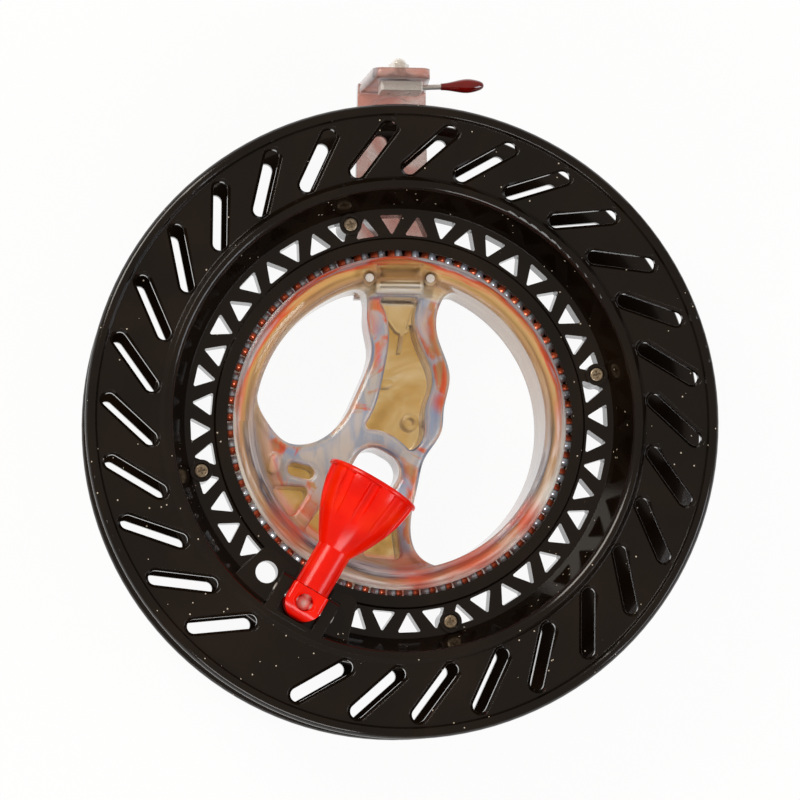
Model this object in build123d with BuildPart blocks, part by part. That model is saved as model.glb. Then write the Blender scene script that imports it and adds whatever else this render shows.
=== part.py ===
from build123d import *
import os
from math import cos, hypot, radians, sin, sqrt

os.makedirs("parts", exist_ok=True)

# Kite line winder lying on its back. Millimetres, +Z up out of the wheel's face, the wheel turns
# about Z, +Y points along the guide arm and z = 0 is the plane that it rests on.

# --- wheel -------------------------------------------------------------------------------------
wheel_r = 110.0          # outer radius of both flanges
wheel_back = 7.0         # rear flange above the resting plane
wheel_width = 40.0       # over both flanges
flange_sink = 1.6        # flange face below the rim bead and the inner lip
flange_thick = 3.6
bead_width = 4.2         # raised bead round the rim
bead_thick = 4.6         # axial thickness of the rim bead
lip_r = 81.6             # radius of the inner lip's crest
lip_width = 3.0          # from the crest out to the flange face
drum_r = 79.6            # groove bottom at the parting plane
drum_rise = 3.6          # how far the groove bottom climbs to each flange
web_r = 75.2             # foot of the conical inner wall
web_half = 4.5           # half of the web's thickness
hub_lip = 5.5            # half of the hub ring's width
hub_wall = 4.0           # radial width of the hub ring

slot_count = 30          # pitch positions round a flange, one of them is blank on the front
slot_lean = 43.0         # degrees from radial
slot_circle = 94.6
slot_length = 24.0
slot_width = 4.9
slot_bevel = 1.05
slot_phase = 0.5         # degrees
blank_slot = 20          # position left plain on the front flange

truss_count = 24         # triangles of each hand round the web
truss_inner = 65.8
truss_outer = 73.0
truss_base = 8.3
truss_corner = 0.5
truss_phase = 10.0       # degrees, first outward-pointing triangle
truss_missing = 2        # triangles of each hand that give way to the crank bracket

screw_circle = 71.4      # the four screws that hold the halves together
screw_count = 4
screw_phase = 14.2
screw_shank_r = 1.25
screw_head_r = 2.4
screw_head_high = 1.6
screw_boss_r = 3.9
screw_boss_rise = 1.1    # front boss above the web
rear_boss_high = 8.5     # rear boss from the parting plane
fit_gap = 0.03           # radial gap of a shaft in its hole
head_gap = 0.25          # round a screw head in its counterbore

# --- ball race ---------------------------------------------------------------------------------
ball_r = 2.75
ball_circle = 59.35
ball_count = 63
ball_gap = 0.15          # round a ball in its race
race_gap = 2.1           # hub ring to handle ring, where the balls show

# --- crank bracket and crank -------------------------------------------------------------------
crank_place = 241.3      # degrees round the wheel to the hinge pin
crank_turn = -1.7        # degrees, crank's axis off the wheel's radius
pin_circle = 72.4
pin_drop = 3.5           # hinge pin below the wheel's front
pin_r = 1.5
pad_from = 222.6         # degrees, the bracket's pad
pad_to = 255.8
pad_drop = 5.0           # pad top below the wheel's front
pad_corner = 3.0
cheek_thick = 4.2
cheek_inner = 66.2       # radius where the cheeks start
cheek_round = 3.2
block_width = 13.4
block_r = 6.3            # round end about the pin
block_reach = 4.9        # pin to the joint face
block_corner = 6.2       # plan rounding of the outer end
block_rim = 1.6          # rounding of the block's long edges
window_rim = 1.0         # countersink of the round window over the ball end
side_gap = 0.3
eye_r = 2.7              # spindle's ball end on the pin
eye_gap = 0.3
spindle_r = 1.9
stem_r = 6.2
stem_end = 21.0          # pin to the end of the plain stem
knob_mouth = 48.1        # pin to the knob's mouth
knob_r = 16.8            # at the lip
knob_lip = 1.8           # length of the plain lip
knob_wall = 2.2
knob_floor = 34.0        # pin to the seat of the knob washer
flute_count = 10
flute_r = 2.1
flute_sink = 1.5         # depth of a flute at the lip
flute_length = 16.0
flute_tilt = 10.5        # degrees, the flutes fade out towards the stem
washer_thick = 0.8
knob_washer_r = 4.4
knob_screw_head_r = 3.3
knob_screw_head_high = 2.2
knob_screw_r = 1.25
knob_screw_length = 10.0
line_hole_angle = 228.2  # hole for tying off the line, through both halves
line_hole_circle = 70.9
line_hole_r = 3.85
line_hole_wall = 9.0     # length of the hole in the pad, wider below that
line_hole_wide_r = 4.6

# --- handle ------------------------------------------------------------------------------------
ring_front = 33.0        # front of the handle's ring above the resting plane
window_r = 51.2          # inner radius of the ring at the openings
grip_front = 25.0        # front of the grip and its webs
rear_flange_r = 61.6     # flange behind the balls
rear_flange_top = 19.5
floor_thick = 6.5        # closed back of the grip
ring_recess_inner = 53.2
ring_recess_outer = 57.2
ring_recess_deep = 0.8
ring_rim = 1.6           # rounding of the ring's inner edge
outer_rim = 0.6
finger_rim = 4.2         # rounding of the openings, back
finger_rim_front = 2.2   # and front
palm_rim = 3.0           # rounding of the palm window, both sides
pocket_rim = 1.0
socket_half = 8.2        # half width of the block between the arm's screws
socket_from = 45.5
socket_to = 55.6
socket_wall = 1.2
socket_top = 31.5
socket_sink = 2.0        # depth of the panel in the block's front
ledge_width = 5.4        # block's lower edge to the panel
ledge_groove = 0.8       # width and depth of the grooves across the ledge
post_r = 2.4             # posts round the arm's screws
post_top = 30.6
rib_thick = 1.3
rib_top = 12.5
wedge_top = 11.0
peg_top = 14.0

# --- guide arm and line lock -------------------------------------------------------------------
arm_thick = 5.0
arm_foot = 46.4          # inner end of the arm
arm_foot_half = 13.5
arm_top_half = 12.1
arm_fit = 0.15           # between the arm's foot and the handle's recess
plate_under = 120.7      # underside of the top plate
plate_thick = 3.4
plate_front = 38.0       # front edge of the plate above the resting plane
plate_front_half = 9.9
plate_corner = 3.5
panel_half = 9.0         # recessed panel on the arm, with an arched end
panel_from = 64.0
panel_deep = 1.8
panel_wall = 0.9         # panel's arched end to the plate
haunch = 0.7
arm_screw_x = 10.7
arm_screw_y = 50.8
arm_screw_r = 1.5
arm_screw_head_r = 2.9
arm_screw_head_high = 2.0
arm_screw_sink = 0.4     # head below the arm's rear face
arm_screw_length = 30.6
bolt_r = 2.0
bolt_head_r = 3.6
bolt_head_high = 1.6
nut_r = 3.6
nut_high = 4.5
dome_r = 2.9
bar_left = 6.9           # lever bar, from the bolt
bar_right = 7.9
bar_half = 6.0
bar_thick = 3.5
bar_corner = 1.0
bar_rim = 0.3
bar_gap = 0.3            # to the plate above it
bolt_head_gap = 0.1      # bolt's head to the floor of its counterbore in the bar
rod_r = 0.95
rod_seat = 2.6           # length of the rod inside the bar
rod_rise = 0.45          # rod's middle above the bar's, at the bar's end
rod_tilt = 3.0           # degrees, rod against the bar
sleeve_start = 7.0       # along the rod, from the bar's end
sleeve_length = 15.3
sleeve_r = 2.5
sleeve_tip = 2.6         # solid end of the sleeve beyond the rod

# --- worked out --------------------------------------------------------------------------------
mid = wheel_back + wheel_width / 2
wheel_front_z = wheel_back + wheel_width
hub_r = ball_circle + race_gap / 2
ring_r = ball_circle - race_gap / 2
race_r = ball_r + ball_gap
slot_pitch = 360 / slot_count
truss_pitch = 360 / truss_count
face_h = wheel_width / 2 - flange_sink
inner_h = face_h - flange_thick
drum_edge_r = drum_r + drum_rise
pin_z = wheel_front_z - pin_drop
pad_z = wheel_front_z - pad_drop

crank_angle = crank_place + crank_turn
outward = Vector(cos(radians(crank_angle)), sin(radians(crank_angle)), 0)
inward = outward * -1
hinge_axis = inward.cross(Vector(0, 0, 1))
pin_x = pin_circle * cos(radians(crank_place))
pin_y = pin_circle * sin(radians(crank_place))
pin_at = Vector(pin_x, pin_y, pin_z)
crank_top = Plane(origin=(pin_x, pin_y, 0), x_dir=outward, z_dir=(0, 0, 1))
crank_side = Plane(origin=pin_at, x_dir=inward, z_dir=hinge_axis)
crank_axis = Axis(pin_at, inward)
screw_spots = [(-arm_screw_x, arm_screw_y), (arm_screw_x, arm_screw_y)]
plate_top = plate_under + plate_thick
bar_under = plate_under - bar_gap - bar_thick
rod_y = bar_under + bar_thick / 2 + rod_rise
rod_dir = Vector(cos(radians(rod_tilt)), sin(radians(rod_tilt)), 0)
rod_axis = Axis((bar_right, rod_y, mid), rod_dir)


def crank_section(u):
    """Plane square to the crank, u from the hinge pin, z towards the knob's mouth."""
    return Plane(origin=pin_at + inward * u, x_dir=hinge_axis, z_dir=inward)


def lock_level(y):
    """Plane square to the lock bolt, y from the wheel's axis, x towards +X and z towards +Y."""
    return Plane(origin=(0, y, mid), x_dir=(1, 0, 0), z_dir=(0, 1, 0))


def rod_section(u):
    """Plane square to the lever's rod, u from the bar's end, z towards the tip."""
    return Plane(origin=rod_axis.position + rod_dir * u, x_dir=(0, 0, 1), z_dir=rod_dir)


def on_outline(edge, outline):
    """True for an edge that runs along the outline of a sketch, seen from the front."""
    spot = edge @ 0.5
    rims = outline.sketch.edges()
    return min(rim.distance_to(Vector(spot.X, spot.Y, (rim @ 0).Z)) for rim in rims) < 0.01


def draw_half(side):
    """Outline of one wheel half's section; side is 1 for the front half and -1 for the rear."""
    top = wheel_width / 2

    def at(r, h):
        return (r, mid + side * h)

    Polyline(
        at(drum_r, 0),
        at(hub_r, 0),
        at(hub_r, hub_lip),
        at(hub_r + hub_wall, hub_lip),
        at(hub_r + hub_wall + 0.6, web_half),
        at(web_r, web_half),
        at(lip_r - 1.8, top - 2.2),
    )
    ThreePointArc(at(lip_r - 1.8, top - 2.2), at(lip_r - 1.1, top - 0.7), at(lip_r + 0.3, top))
    Polyline(
        at(lip_r + 0.3, top),
        at(lip_r + 1.3, top),
        at(lip_r + lip_width, face_h),
        at(wheel_r - bead_width, face_h),
        at(wheel_r - bead_width + 0.7, top - 0.5),
    )
    ThreePointArc(
        at(wheel_r - bead_width + 0.7, top - 0.5),
        at(wheel_r - bead_width / 2, top),
        at(wheel_r - 0.6, top - 0.8),
    )
    ThreePointArc(
        at(wheel_r - 0.6, top - 0.8),
        at(wheel_r, top - bead_thick / 2),
        at(wheel_r - 0.6, top - bead_thick + 0.5),
    )
    Polyline(
        at(wheel_r - 0.6, top - bead_thick + 0.5),
        at(wheel_r - bead_width, inner_h),
        at(drum_edge_r + 2.5, inner_h),
    )
    ThreePointArc(
        at(drum_edge_r + 2.5, inner_h),
        at(drum_edge_r + 0.8, inner_h - 0.7),
        at(drum_edge_r, inner_h - 2.4),
    )
    Polyline(at(drum_edge_r, inner_h - 2.4), at(drum_r, 0))


with BuildSketch() as outward_triangle:
    Polygon((truss_inner, -truss_base / 2), (truss_inner, truss_base / 2), (truss_outer, 0), align=None)
    fillet(outward_triangle.vertices(), truss_corner)

with BuildSketch() as inward_triangle:
    Polygon((truss_outer, -truss_base / 2), (truss_inner, 0), (truss_outer, truss_base / 2), align=None)
    fillet(inward_triangle.vertices(), truss_corner)


def draw_truss():
    """The ring of triangles, left out where the crank bracket stands."""
    kept = truss_count - truss_missing
    arc = (kept - 1) * truss_pitch
    first = truss_phase + 17 * truss_pitch
    with PolarLocations(0, kept, first, arc, endpoint=True):
        add(outward_triangle.sketch)
    with PolarLocations(0, kept, first - truss_pitch / 2, arc, endpoint=True):
        add(inward_triangle.sketch)


def draw_slots(first, count, grow):
    """Leaning slots from position first on, grown by grow on every side."""
    arc = (count - 1) * slot_pitch
    with PolarLocations(slot_circle, count, slot_phase + first * slot_pitch, arc, endpoint=True):
        SlotOverall(slot_length + 2 * grow, slot_width + 2 * grow, rotation=-slot_lean)


# --- wheel, front half -------------------------------------------------------------------------
with BuildPart() as wheel_front:
    with BuildSketch(Plane.XZ):
        with BuildLine():
            draw_half(1)
        make_face()
    revolve(axis=Axis.Z)
    with BuildSketch(Plane.XY.offset(mid)):
        draw_truss()
    extrude(amount=hub_lip + 1, mode=Mode.SUBTRACT)
    with BuildSketch(Plane.XY.offset(mid + inner_h - 1)):
        draw_slots(blank_slot + 1, slot_count - 1, 0)
    extrude(amount=flange_thick + 2, mode=Mode.SUBTRACT)
    with BuildSketch(Plane.XY.offset(mid + face_h)):
        draw_slots(blank_slot + 1, slot_count - 1, slot_bevel)
    extrude(amount=-slot_bevel, taper=45, mode=Mode.SUBTRACT)
    # bosses of the four screws
    with BuildSketch(Plane.XY.offset(mid)):
        with PolarLocations(screw_circle, screw_count, screw_phase):
            Circle(screw_boss_r)
    extrude(amount=web_half + screw_boss_rise)
    # pad that carries the crank
    with BuildSketch(Plane.XY.offset(mid + 1)) as pad:
        Circle(drum_r + 0.6)
        Circle(hub_r + 3.0, mode=Mode.SUBTRACT)
        with BuildLine():
            reach = 2 * wheel_r
            Polyline(
                (0, 0),
                (reach * cos(radians(pad_from)), reach * sin(radians(pad_from))),
                (reach * cos(radians(pad_to)), reach * sin(radians(pad_to))),
                close=True,
            )
        make_face(mode=Mode.INTERSECT)
        fillet(pad.vertices().sort_by_distance((0, 0, mid + 1))[0:2], pad_corner)
    extrude(amount=pad_z - mid - 1)
    # cheeks on both sides of the crank
    with BuildSketch(crank_side) as cheek:
        with BuildLine():
            back = pin_circle - drum_r - 1.2
            front = pin_circle - cheek_inner
            Polyline(
                (back, -pin_z + mid + web_half),
                (front, -pin_z + mid + web_half),
                (front, pin_drop - 0.2),
                (back, pin_drop - 0.2),
                close=True,
            )
        make_face()
        fillet(cheek.vertices().group_by(Axis.Z)[-1].sort_by_distance((0, 0, pin_z))[0], cheek_round)
    extrude(amount=block_width / 2 + side_gap + cheek_thick, both=True)
    # slot for the hinge block and the stem
    with BuildSketch(crank_top.offset(pin_z - block_r - side_gap)):
        slot_in = hub_r - 1 - pin_circle
        slot_out = block_r + 2 * side_gap
        with Locations(((slot_in + slot_out) / 2, 0)):
            Rectangle(slot_out - slot_in, block_width + 2 * side_gap)
    extrude(amount=wheel_width, mode=Mode.SUBTRACT)
    with BuildSketch(crank_side):
        Circle(pin_r + fit_gap)
    extrude(amount=block_width, both=True, mode=Mode.SUBTRACT)
    # race, screw holes and line hole
    with BuildSketch(Plane.XZ):
        with Locations((ball_circle, mid)):
            Circle(race_r)
    revolve(axis=Axis.Z, mode=Mode.SUBTRACT)
    with BuildSketch(Plane.XY.offset(mid)):
        with PolarLocations(screw_circle, screw_count, screw_phase):
            Circle(screw_shank_r + 4 * fit_gap)
        with PolarLocations(line_hole_circle, 1, line_hole_angle):
            Circle(line_hole_r)
    extrude(amount=wheel_width, mode=Mode.SUBTRACT)
    with BuildSketch(Plane.XY.offset(mid)):
        with PolarLocations(line_hole_circle, 1, line_hole_angle):
            Circle(line_hole_wide_r)
    extrude(amount=pad_z - line_hole_wall - mid, mode=Mode.SUBTRACT)
    with BuildSketch(Plane.XY.offset(mid + web_half + screw_boss_rise - screw_head_high)):
        with PolarLocations(screw_circle, screw_count, screw_phase):
            Circle(screw_head_r + head_gap)
    extrude(amount=wheel_width, mode=Mode.SUBTRACT)
wheel_front.part.label = "wheel_front"
export_step(wheel_front.part, "parts/wheel_front.step")

# --- wheel, rear half --------------------------------------------------------------------------
with BuildPart() as wheel_rear:
    with BuildSketch(Plane.XZ):
        with BuildLine():
            draw_half(-1)
        make_face()
    revolve(axis=Axis.Z)
    with BuildSketch(Plane.XY.offset(mid)):
        draw_truss()
    extrude(amount=-hub_lip - 1, mode=Mode.SUBTRACT)
    with BuildSketch(Plane.XY.offset(mid - inner_h + 1)):
        draw_slots(0, slot_count, 0)
    extrude(amount=-flange_thick - 2, mode=Mode.SUBTRACT)
    with BuildSketch(Plane.XY.offset(mid - face_h)):
        draw_slots(0, slot_count, slot_bevel)
    extrude(amount=slot_bevel, taper=45, mode=Mode.SUBTRACT)
    with BuildSketch(Plane.XY.offset(mid)):
        with PolarLocations(screw_circle, screw_count, screw_phase):
            Circle(screw_boss_r)
    extrude(amount=-rear_boss_high)
    with BuildSketch(Plane.XZ):
        with Locations((ball_circle, mid)):
            Circle(race_r)
    revolve(axis=Axis.Z, mode=Mode.SUBTRACT)
    with BuildSketch(Plane.XY.offset(mid)):
        with PolarLocations(screw_circle, screw_count, screw_phase):
            Circle(screw_shank_r + fit_gap)
    extrude(amount=-rear_boss_high + 1, mode=Mode.SUBTRACT)
    with BuildSketch(Plane.XY.offset(mid)):
        with PolarLocations(line_hole_circle, 1, line_hole_angle):
            Circle(line_hole_wide_r)
    extrude(amount=-wheel_width, mode=Mode.SUBTRACT)
wheel_rear.part.label = "wheel_rear"
export_step(wheel_rear.part, "parts/wheel_rear.step")

# --- wheel screws ------------------------------------------------------------------------------
screw_seat = mid + web_half + screw_boss_rise - screw_head_high
with BuildPart() as wheel_screws:
    with BuildSketch(Plane.XY.offset(screw_seat)):
        with PolarLocations(screw_circle, screw_count, screw_phase):
            Circle(screw_head_r)
    extrude(amount=screw_head_high)
    fillet(wheel_screws.faces().group_by(Axis.Z)[-1].edges(), 0.7)
    with BuildSketch(Plane.XY.offset(screw_seat)):
        with PolarLocations(screw_circle, screw_count, screw_phase):
            Circle(screw_shank_r)
    extrude(amount=-(screw_seat - mid) - rear_boss_high + 2)
    with BuildSketch(Plane.XY.offset(screw_seat + screw_head_high)):
        with PolarLocations(screw_circle, screw_count, screw_phase):
            Rectangle(2.6, 0.7)
            Rectangle(0.7, 2.6)
    extrude(amount=-0.9, mode=Mode.SUBTRACT)
wheel_screws.part.label = "wheel_screws"
export_step(wheel_screws.part, "parts/wheel_screws.step")

# --- bearing balls -----------------------------------------------------------------------------
with BuildPart() as bearing_balls:
    with Locations((0, 0, mid)):
        with PolarLocations(ball_circle, ball_count):
            Sphere(ball_r)
bearing_balls.part.label = "bearing_balls"
export_step(bearing_balls.part, "parts/bearing_balls.step")

# --- crank: hinge pin, block, spindle, knob ----------------------------------------------------
cheek_out = block_width / 2 + side_gap + cheek_thick
with BuildPart() as hinge_pin:
    with BuildSketch(crank_side):
        Circle(pin_r)
    extrude(amount=cheek_out + 0.4, both=True)
    chamfer(hinge_pin.edges(), 0.3)
hinge_pin.part.label = "hinge_pin"
export_step(hinge_pin.part, "parts/hinge_pin.step")

with BuildPart() as crank_block:
    with BuildSketch(crank_side):
        Circle(block_r)
        with Locations((block_reach / 2, 0)):
            Rectangle(block_reach, 2 * block_r)
    extrude(amount=block_width / 2, both=True)
    # rounded plan of the outer end
    with BuildSketch(crank_top.offset(pin_z - block_r)) as plan:
        with Locations(((block_r - block_reach) / 2, 0)):
            Rectangle(block_r + block_reach, block_width)
        fillet(plan.vertices().sort_by_distance((0, 0, 0))[2:4], block_corner)
    extrude(amount=2 * block_r, mode=Mode.INTERSECT)
    with BuildSketch(crank_section(-2 * block_r)):
        RectangleRounded(block_width, 2 * block_r, block_rim)
    extrude(amount=4 * block_r, mode=Mode.INTERSECT)
    # round window over the spindle's ball end
    eye_window_r = eye_r + eye_gap
    with BuildSketch(crank_top.offset(pin_z - eye_window_r)):
        Circle(eye_window_r)
    extrude(amount=2 * block_r, mode=Mode.SUBTRACT)
    with Locations((pin_x, pin_y, pin_z + block_r)):
        Cone(eye_window_r, eye_window_r + 2 * window_rim, 2 * window_rim, mode=Mode.SUBTRACT)
    with BuildSketch(crank_side):
        Circle(pin_r + fit_gap)
    extrude(amount=block_width, both=True, mode=Mode.SUBTRACT)
    with BuildSketch(crank_section(0)):
        Circle(spindle_r + fit_gap)
    extrude(amount=block_reach + 1, mode=Mode.SUBTRACT)
crank_block.part.label = "crank_block"
export_step(crank_block.part, "parts/crank_block.step")

spindle_end = knob_floor + washer_thick + 0.1
with BuildPart() as crank_spindle:
    neck = sqrt(eye_r**2 - spindle_r**2)
    with BuildSketch(crank_side):
        with BuildLine():
            ThreePointArc((-eye_r, 0), (0, eye_r), (neck, spindle_r))
            Polyline((neck, spindle_r), (spindle_end, spindle_r), (spindle_end, 0), (-eye_r, 0))
        make_face()
    revolve(axis=crank_axis)
    with BuildSketch(crank_side):
        Circle(pin_r + fit_gap)
    extrude(amount=block_width, both=True, mode=Mode.SUBTRACT)
    with BuildSketch(crank_section(spindle_end)):
        Circle(knob_screw_r + fit_gap)
    extrude(amount=-knob_screw_length, mode=Mode.SUBTRACT)
crank_spindle.part.label = "crank_spindle"
export_step(crank_spindle.part, "parts/crank_spindle.step")

# knob outline, distance from the pin and radius: (28.6, 10.6) and (36.5, 14.0) shape the flare
knob_start = block_reach + side_gap
lip_start = knob_mouth - knob_lip
flare = [(28.6, 10.6), (36.5, 14.0)]
with BuildPart() as crank_knob:
    with BuildSketch(crank_side):
        with BuildLine():
            Polyline((stem_end, stem_r), (knob_start, stem_r), (knob_start, 0), (knob_mouth, 0))
            Polyline((knob_mouth, 0), (knob_mouth, knob_r - 0.8))
            ThreePointArc(
                (knob_mouth, knob_r - 0.8),
                (knob_mouth - 0.3, knob_r - 0.2),
                (knob_mouth - 1.0, knob_r),
            )
            Polyline((knob_mouth - 1.0, knob_r), (lip_start + 0.4, knob_r), (lip_start, knob_r - 0.8))
            Spline((lip_start, knob_r - 0.8), flare[1], flare[0], (stem_end, stem_r))
        make_face()
    revolve(axis=crank_axis)
    # flutes below the lip
    flute_out = knob_r - 0.8 - flute_sink + flute_r - flute_length / 2 * sin(radians(flute_tilt))
    with Locations(crank_section(lip_start - flute_length / 2)):
        with PolarLocations(flute_out, flute_count, 180 / flute_count):
            Cylinder(flute_r, flute_length, rotation=(0, flute_tilt, 0), mode=Mode.SUBTRACT)
    # hollow mouth
    with BuildSketch(crank_side):
        with BuildLine():
            Polyline((knob_mouth + 1, 0), (knob_floor, 0), (knob_floor, knob_washer_r + 1.4))
            Polyline((knob_floor, knob_washer_r + 1.4), (lip_start - 3, flare[1][1] - knob_wall + 0.4))
            Polyline(
                (lip_start - 3, flare[1][1] - knob_wall + 0.4),
                (knob_mouth, knob_r - knob_wall),
                (knob_mouth + 1, knob_r - knob_wall),
                (knob_mouth + 1, 0),
            )
        make_face()
    revolve(axis=crank_axis, mode=Mode.SUBTRACT)
    with BuildSketch(crank_section(0)):
        Circle(spindle_r + fit_gap)
    extrude(amount=knob_mouth, mode=Mode.SUBTRACT)
crank_knob.part.label = "crank_knob"
export_step(crank_knob.part, "parts/crank_knob.step")

with BuildPart() as knob_washer:
    with BuildSketch(crank_section(knob_floor + 0.05)):
        Circle(knob_washer_r)
        Circle(spindle_r + 2 * fit_gap, mode=Mode.SUBTRACT)
    extrude(amount=washer_thick)
knob_washer.part.label = "knob_washer"
export_step(knob_washer.part, "parts/knob_washer.step")

with BuildPart() as knob_screw:
    with BuildSketch(crank_section(spindle_end)):
        Circle(knob_screw_head_r)
    extrude(amount=knob_screw_head_high)
    fillet(knob_screw.edges().sort_by_distance(pin_at)[-1], 1.0)
    with BuildSketch(crank_section(spindle_end)):
        Circle(knob_screw_r)
    extrude(amount=-knob_screw_length + 1)
    with BuildSketch(crank_section(spindle_end + knob_screw_head_high)):
        Rectangle(3.4, 0.8)
        Rectangle(0.8, 3.4)
    extrude(amount=-1.1, mode=Mode.SUBTRACT)
knob_screw.part.label = "knob_screw"
export_step(knob_screw.part, "parts/knob_screw.step")

# --- handle ------------------------------------------------------------------------------------
with BuildSketch() as finger_window:
    with BuildLine():
        rim = CenterArc((0, 0), window_r, -74.5, 143)
        Spline(
            rim @ 1,
            (14.2, 40.0),
            (13.9, 33.0),
            (18.5, 16.8),
            (16.4, 5.4),
            (15.6, -2.0),
            (9.6, -11.8),
            (7.4, -20.0),
            (4.8, -33.0),
            (5.8, -43.0),
            rim @ 0,
        )
    make_face()
    fillet(finger_window.vertices(), 4.0)

with BuildSketch() as thumb_window:
    with BuildLine():
        rim = CenterArc((0, 0), window_r - 1.0, 118, 50)
        Spline(
            rim @ 1,
            (-46.0, 1.0),
            (-38.5, -6.6),
            (-29.5, -6.4),
            (-19.8, 1.0),
            (-13.8, 12.5),
            (-9.2, 27.0),
            (-10.8, 38.4),
            rim @ 0,
            tangents=(rim % 1, rim % 0),
        )
    make_face()

with BuildSketch() as palm_window:
    with Locations((-9.0, -18.5)):
        RectangleRounded(16.2, 20.0, 6.4, rotation=-30)

with BuildSketch() as grip_channel:
    with BuildLine():
        channel_top = socket_from - 0.6
        Polyline((8.0, channel_top), (-7.6, channel_top))
        Spline(
            (-7.6, channel_top),
            (-3.6, 36.8),
            (-3.2, 29.0),
            (-4.8, 19.0),
            (-7.8, 7.0),
            (-13.4, -2.6),
        )
        Spline((-13.4, -2.6), (-8.2, -1.8), (-1.8, -4.0), (4.2, -9.4))
        Spline(
            (4.2, -9.4),
            (9.2, -3.6),
            (9.7, 5.4),
            (12.3, 15.0),
            (8.4, 27.5),
            (8.0, channel_top),
        )
    make_face()
    fillet(grip_channel.vertices(), 1.6)

with BuildSketch() as corner_pockets:
    Polygon((-45.4, -21.6), (-30.2, -22.4), (-37.4, -33.4), align=None)
    Polygon((-26.0, -27.6), (-21.4, -34.0), (-26.0, -42.6), (-33.0, -37.4), align=None)
    Polygon((-7.6, -37.0), (-0.6, -35.2), (1.0, -47.6), (-13.4, -46.2), align=None)
    fillet(corner_pockets.vertices(), 1.8)
    with Locations((-34.0, -16.6)):
        SlotOverall(9.4, 4.6, rotation=-14)

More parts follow.
